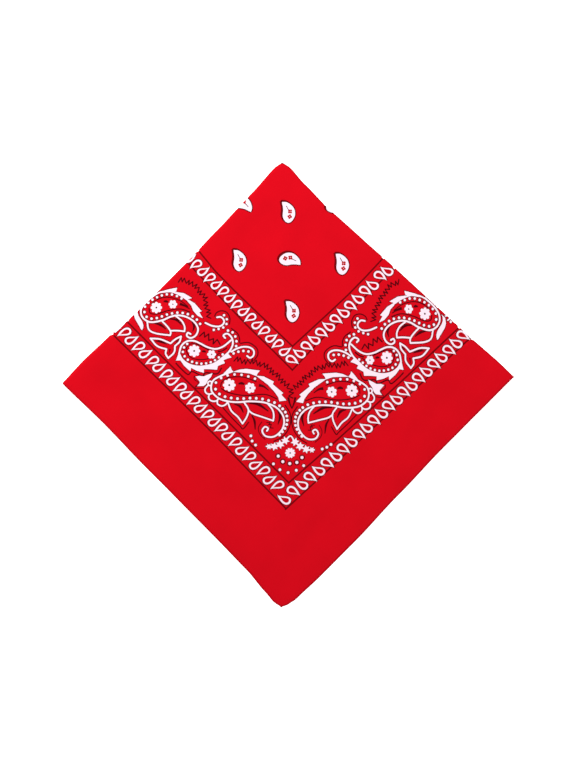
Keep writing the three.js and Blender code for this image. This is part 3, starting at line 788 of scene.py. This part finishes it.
top_space = cloth_point(cut_points[:, 0], cut_points[:, 1], OUTER_SKIN)
top_cloth = printed_mesh("top_cloth", cut_points, top_space, cut_faces, cut_inks)
thicken(top_cloth)
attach(top_cloth, "root")
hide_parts("top_panel")

# The lowest quarter lies face down on the table, so its print shows only from below. It is the
# mirror image across the fold, which puts each motif right under its twin. It turns up over the
# lower nose of the right fold and into its own two hems, set in a little from the top quarter.
LOW_NOSE_RADIUS, LOW_NOSE_INSET = 0.9, 2.35
LOW_HEM_RADIUS = 0.6
LOW_NOSE_REACH = 12
LOW_HEM_SET_IN = {"left": 1.2, "right": 0.5}
SET_IN_FROM, SET_IN_OVER = 250, 24
LOW_CREASES = [
    (60, 40, 120, 90, 18, 0.5), (150, 180, 230, 200, 20, 0.45), (40, 150, 60, 235, 15, 0.4),
    (200, 40, 190, 120, 18, 0.45),
]


def low_edge(along, inset, set_in):
    angle = np.clip((along - HEM_TURN_START) / HEM_TURN_RADIUS, 0, math.pi)
    turned = QUARTER - LOW_HEM_RADIUS + LOW_HEM_RADIUS * np.sin(angle)
    inset = np.where(along > HEM_TURN_START, turned, inset)
    inset = inset - set_in * smooth((along - SET_IN_FROM) / SET_IN_OVER)
    return inset, LOW_HEM_RADIUS * (1 - np.cos(angle))


def low_point(along1, along2):
    angle = np.clip((RIGHT_FOLD_RADIUS - along1) / RIGHT_FOLD_RADIUS, 0, math.pi)
    set_back = LOW_NOSE_INSET - RIGHT_FOLD_RADIUS - HALF_WALL
    across = along1 + HALF_WALL + set_back * fade(along1, RIGHT_FOLD_RADIUS, LOW_NOSE_REACH)
    nose = LOW_NOSE_INSET - LOW_NOSE_RADIUS * np.sin(angle)
    across = np.where(along1 < RIGHT_FOLD_RADIUS, nose, across)
    across, rise1 = low_edge(along1, across, LOW_HEM_SET_IN["left"])
    down, rise2 = low_edge(along2, along2 + HALF_WALL, LOW_HEM_SET_IN["right"])
    rise = np.maximum(rise1, rise2) + LOW_NOSE_RADIUS * (1 - np.cos(angle))
    rise += crease_height(LOW_CREASES, across, down)
    return np.column_stack([plan_point(across, down), rise]) * MM


face_along = cut_points[cut_faces].min(axis=1)
past_fold = face_along[:, 1] > fold_radius(face_along[:, 0] + HALF_WALL) - 0.01
low_space = low_point(cut_points[:, 0], cut_points[:, 1])
bottom_cloth = printed_mesh("bottom_cloth", cut_points, low_space, cut_faces[past_fold],
                            cut_inks[past_fold], turn_over=True)
thicken(bottom_cloth)
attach(bottom_cloth, "root")
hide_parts("under_layers")

# The two hidden quarters are one stretch of the same cloth, wrong sides out, doubled back at a
# nose of its own inside the left fold. Its edges go into their hems. It is never printed through.
PLAIN_RED = (0.53, 0.0022, 0.0085)
under_cotton = cotton("under cotton", PLAIN_RED, False)
INNER_NOSE_GAP = 0.8
INNER_ROWS, INNER_RUN_STEPS, INNER_NOSE_STEPS = 48, 50, 10
INNER_FROM, INNER_TO = 2.4, 269.5
INNER_RIM_FROM, INNER_RIM_OVER = 262, 7
INNER_FOLD_REACH, INNER_SIDE_REACH = (5, 32), (1.5, 14)
LOWER_HEIGHT, LOWER_RIM_LIFT, LOWER_FOLD_DIP = 1.62, 0.18, 0.32
UPPER_HEIGHT, UPPER_RIM_LIFT, UPPER_SIDE_DIP = 2.6, 0.4, 0.33


def woven_piece(name, space, flat, material, closed=False):
    """A bmesh grid bent to rows of points in space, with its weave laid out flat in its UV map."""
    rows, columns = space.shape[:2]
    cloth = bmesh.new()
    weave = cloth.loops.layers.uv.new("OFBake")
    bmesh.ops.create_grid(cloth, x_segments=rows - 1, y_segments=columns - 1, size=0.5)
    spots = {}
    for vert in cloth.verts:
        row = round((vert.co.x + 0.5) * (rows - 1))
        spots[vert] = row, round((vert.co.y + 0.5) * (columns - 1))
    for face in cloth.faces:
        face.smooth = True
        for loop in face.loops:
            loop[weave].uv = (flat[spots[loop.vert]] + WEAVE_MARGIN) / WEAVE_UNIT
    for vert, spot in spots.items():
        vert.co = space[spot]
    if closed:
        bmesh.ops.remove_doubles(cloth, verts=cloth.verts, dist=1e-7)
        open_ends = [edge for edge in cloth.edges if edge.is_boundary]
        bmesh.ops.holes_fill(cloth, edges=open_ends, sides=0)
        bmesh.ops.recalc_face_normals(cloth, faces=cloth.faces)
    mesh = bpy.data.meshes.new(name)
    cloth.to_mesh(mesh)
    cloth.free()
    return add_piece(name, mesh, material)


def hidden_height(across, down, layer):
    near_rim = smooth((np.maximum(across, down) - INNER_RIM_FROM) / INNER_RIM_OVER)
    near_fold = fade(down, *INNER_FOLD_REACH)
    if layer == "lower":
        return LOWER_HEIGHT + LOWER_RIM_LIFT * near_rim - LOWER_FOLD_DIP * near_fold
    nose_top = 2 * fold_radius(across) + HALF_WALL - INNER_NOSE_GAP
    flat = UPPER_HEIGHT + UPPER_RIM_LIFT * near_rim
    flat -= UPPER_SIDE_DIP * fade(across, *INNER_SIDE_REACH)
    return flat + (nose_top - flat) * near_fold


inner_across = np.linspace(INNER_FROM, INNER_TO, INNER_ROWS)
inner_rows = []
for across in inner_across:
    radius = fold_radius(np.array([across]))[0]
    centre = radius + HALF_WALL
    run = np.linspace(INNER_TO, centre, INNER_RUN_STEPS)
    same = np.full(len(run), across)
    turn = math.pi * np.arange(1, INNER_NOSE_STEPS) / INNER_NOSE_STEPS
    low, high = hidden_height(same, run, "lower"), hidden_height(same, run, "upper")
    middle, half = (low[-1] + high[-1]) / 2, (high[-1] - low[-1]) / 2
    down = np.concatenate([run, centre - (radius - INNER_NOSE_GAP) * np.sin(turn), run[::-1]])
    height = np.concatenate([low, middle - half * np.cos(turn), high[::-1]])
    inner_rows.append(np.column_stack([plan_point(np.full(len(down), across), down), height]) * MM)
inner_space = np.array(inner_rows)
middle_row = inner_space[INNER_ROWS // 2]
lengths = np.hypot(*np.diff(middle_row, axis=0)[:, :2].T) / MM
inner_run = np.concatenate([[0], lengths.cumsum()])
inner_flat = np.stack(np.broadcast_arrays(inner_across[:, None], inner_run), axis=2)
inner_cloth = woven_piece("inner_cloth", inner_space, inner_flat, under_cotton)
thicken(inner_cloth, offset=0)
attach(inner_cloth, "root")
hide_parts("under_layers")

# Each free edge is turned twice to the wrong side, which makes a flat roll about 5 mm wide. The
# two rolls of the top quarter follow its edges, and the left one goes on round the left fold.
ROLL_WIDTH = 5.2
ROLL_DEPTHS = -0.12, 0.9
ROLL_SIDES = 16
ROLL_WIDE_POWER, ROLL_TALL_POWER = 2 / 5, 2 / 3
ROLL_STEP, ROLL_ROUND_STEP = 3.0, 0.7
ROLL_CLEAR, ROLL_PAST_NOSE, ROLLS_APART, ROLL_SHORT = 0.05, 0.4, 0.2, 1
hem_cotton = cotton("hem cotton", PLAIN_RED, False)


def roll_section(from_along, to_along, depths):
    """The flattened outline of a hem, from its sewn edge to its turned one."""
    turn = math.tau * np.arange(ROLL_SIDES + 1) / ROLL_SIDES
    wide = np.sign(np.cos(turn)) * np.abs(np.cos(turn)) ** ROLL_WIDE_POWER
    tall = np.sign(np.sin(turn)) * np.abs(np.sin(turn)) ** ROLL_TALL_POWER
    return ((from_along + to_along) / 2 + (to_along - from_along) / 2 * wide,
            sum(depths) / 2 + (depths[1] - depths[0]) / 2 * tall)


def roll_piece(name, rows, slot, node):
    space = np.array(rows)
    round_it = np.arange(space.shape[1]) * ROLL_ROUND_STEP
    along_it = np.arange(len(space))[:, None] * ROLL_STEP
    flat = np.stack(np.broadcast_arrays(along_it, round_it), axis=2)
    material = hem_cotton if slot == "hem_cotton" else under_cotton
    roll = woven_piece(name, space, flat, material, closed=True)
    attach(roll, "root")
    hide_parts(node)
    return roll


roll_along, roll_depth = roll_section(
    HEM_TURN_START - ROLL_WIDTH, HEM_TURN_START - ROLL_CLEAR, ROLL_DEPTHS)
left_radius = fold_radius(np.array([QUARTER]))[0]
round_fold = left_radius * (1 - math.pi * np.arange(NOSE_STEPS, 0, -1) / NOSE_STEPS)
left_run = np.arange(left_radius, HEM_TURN_START - ROLL_SHORT, ROLL_STEP)
left_run = np.concatenate([round_fold, left_run])
right_run = np.arange(RIGHT_FOLD_RADIUS + ROLL_PAST_NOSE,
                      HEM_TURN_START - ROLL_WIDTH - ROLLS_APART, ROLL_STEP)
left_roll = roll_piece("left_hem_roll", [
    cloth_point(roll_along, np.full(len(roll_along), along), roll_depth) for along in left_run
], "hem_cotton", "hem_left")
right_roll = roll_piece("right_hem_roll", [
    cloth_point(np.full(len(roll_along), along), roll_along, roll_depth) for along in right_run
], "hem_cotton", "hem_right")

# The three hidden quarters end in the same hems, one on the other and a little out of line. The
# left roll of each runs to the corner, and the right one stops short of it. Each row is given as
# the roll's two heights, how far it is set in on the left and right, and its cloth's own room.
HIDDEN_ROLL_WIDTH, HIDDEN_ROLL_GAP, HIDDEN_ROLL_ROWS = 6, 0.3, 90
for layer, (heights, left_in, right_in, outer) in enumerate([
    ((2.42, 3.58), 0.8, 0.3, 0), ((1.22, 2.38), 0.2, 1.1, 0), ((0.37, 1.17), 1.2, 0.5, 0.65),
], start=2):
    start = LOW_NOSE_INSET + HIDDEN_ROLL_GAP
    short = HIDDEN_ROLL_WIDTH + HIDDEN_ROLL_GAP
    for side, set_in in (("left", left_in), ("right", right_in)):
        turned = QUARTER - set_in - outer
        reach, height = roll_section(turned - HIDDEN_ROLL_WIDTH, turned, heights)
        stop = QUARTER - (right_in if side == "left" else left_in + short) - outer
        rows = []
        for along in np.linspace(start, stop, HIDDEN_ROLL_ROWS):
            run = np.full(len(reach), along)
            plan = plan_point(reach, run) if side == "left" else plan_point(run, reach)
            rows.append(np.column_stack([plan, height]) * MM)
        roll_piece(f"{side}_hem_roll_{layer}", rows, "under_cotton", "under_layers")

# One row of lockstitch in matching thread holds each hem, about 4.6 mm in from the edge. It shows
# on the top quarter, and on the bottom one from below, with each stitch sunk at both its ends.
STITCH, PITCH, THREAD = 2.2, 2.8, 0.16
STITCH_LINE = QUARTER - 4.6
STITCH_START = 6.0
STITCH_SIDES = 6
# Ring by ring, how deep a stitch sinks, in its own thicknesses
STITCH_SUNK = 0.9, 0.3, 0.1, 0.3, 0.9
LOW_THREAD_LIFT = 0.13
thread_cotton = bpy.data.materials.new("hem thread")
thread_cotton.use_nodes = True
nodes = thread_cotton.node_tree.nodes
place = nodes.new("ShaderNodeTexCoord")
twist = fill(nodes.new("ShaderNodeTexNoise"), {"Vector": place.outputs["Object"], "Scale": 900})
tone = nodes.new("ShaderNodeMix")
tone.data_type = "RGBA"
fill(tone, {"Factor": twist.outputs["Fac"], "A": (0.5, 0.0018, 0.008, 1), "B": (0.62, 0.003, 0.011, 1)})
fill(nodes["Principled BSDF"], {
    "Base Color": tone.outputs["Result"], "Roughness": 0.8, "Specular IOR Level": 0.1})


def stitches(name, point, side, up):
    """One joined row of stitches. point gives the cloth's skin, and up is the way that it faces."""
    thread = bmesh.new()
    starts = np.arange(STITCH_START, STITCH_LINE - 1, PITCH)
    rings = np.linspace(0, 1, len(STITCH_SUNK))
    run = (starts[:, None] + STITCH * rings).ravel()
    same = np.full(len(run), STITCH_LINE)
    line = point(same, run) if side == "left" else point(run, same)
    line = line.reshape(len(starts), len(STITCH_SUNK), 3)
    sunk = np.array(STITCH_SUNK) * THREAD * MM * -up
    turn = math.tau * np.arange(STITCH_SIDES) / STITCH_SIDES
    for centre in line:
        heading = centre[-1] - centre[0]
        heading /= np.linalg.norm(heading)
        aside = np.cross((0, 0, 1), heading)
        loops = []
        for middle, sink in zip(centre, sunk):
            ring = middle + (0, 0, sink) + THREAD * MM * (
                np.cos(turn)[:, None] * aside + np.sin(turn)[:, None] * np.array([0, 0, 1]))
            loops.append([thread.verts.new(spot) for spot in ring])
        for one, other in zip(loops, loops[1:]):
            for i in range(STITCH_SIDES):
                after = (i + 1) % STITCH_SIDES
                thread.faces.new([one[i], one[after], other[after], other[i]])
        thread.faces.new(loops[0][::-1])
        thread.faces.new(loops[-1])
    bmesh.ops.recalc_face_normals(thread, faces=thread.faces)
    for face in thread.faces:
        face.smooth = True
    mesh = bpy.data.meshes.new(name)
    thread.to_mesh(mesh)
    thread.free()
    row = add_piece(name, mesh, thread_cotton)
    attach(row, "root")
    return row


def top_skin(along1, along2):
    return cloth_point(along1, along2, OUTER_SKIN)


def low_skin(along1, along2):
    return low_point(along1, along2) + (0, 0, LOW_THREAD_LIFT * MM)


top_rows = [stitches(f"{side}_stitches", top_skin, side, 1) for side in ("left", "right")]
low_rows = [stitches(f"{side}_under_stitches", low_skin, side, -1) for side in ("left", "right")]

# The studio: a plain white floor, soft light from all round, and a wide soft lamp beyond the
# top corner. The camera looks straight down from about a metre and a half.
bpy.ops.mesh.primitive_plane_add(size=8, location=(0, 0, 0))
floor = bpy.context.object
floor.name = "floor"
floor.data.transform(floor.matrix_world)
floor.matrix_world.identity()
paper = bpy.data.materials.new("white paper")
paper.use_nodes = True
fill(paper.node_tree.nodes["Principled BSDF"], {
    "Base Color": (0.93, 0.93, 0.93, 1), "Roughness": 0.9, "Emission Color": (1, 1, 1, 1),
    "Emission Strength": 1.0})
floor.data.materials.append(paper)

world = bpy.data.worlds.new("soft light")
world.use_nodes = True
fill(world.node_tree.nodes["Background"], {"Color": (1, 1, 1, 1), "Strength": 0.57})
bpy.context.scene.world = world

lamp_data = bpy.data.lights.new("soft lamp", "AREA")
lamp_data.shape = "RECTANGLE"
lamp_data.size = 0.9
lamp_data.size_y = 0.7
lamp_data.energy = 9.8
lamp = bpy.data.objects.new("soft lamp", lamp_data)
lamp.location = (-0.3, 0.57, 0.74)
lamp.rotation_euler = (Vector((0, 0.05, 0)) - lamp.location).to_track_quat("-Z", "Y").to_euler()
bpy.context.scene.collection.objects.link(lamp)

camera_data = bpy.data.cameras.new("camera")
camera_data.lens = 85
camera_data.sensor_width = 36
camera = bpy.data.objects.new("camera", camera_data)
camera.location = (0.00002, 0.00083, 1.5642)
bpy.context.scene.collection.objects.link(camera)
bpy.context.scene.camera = camera
bpy.context.scene.view_settings.view_transform = "Standard"
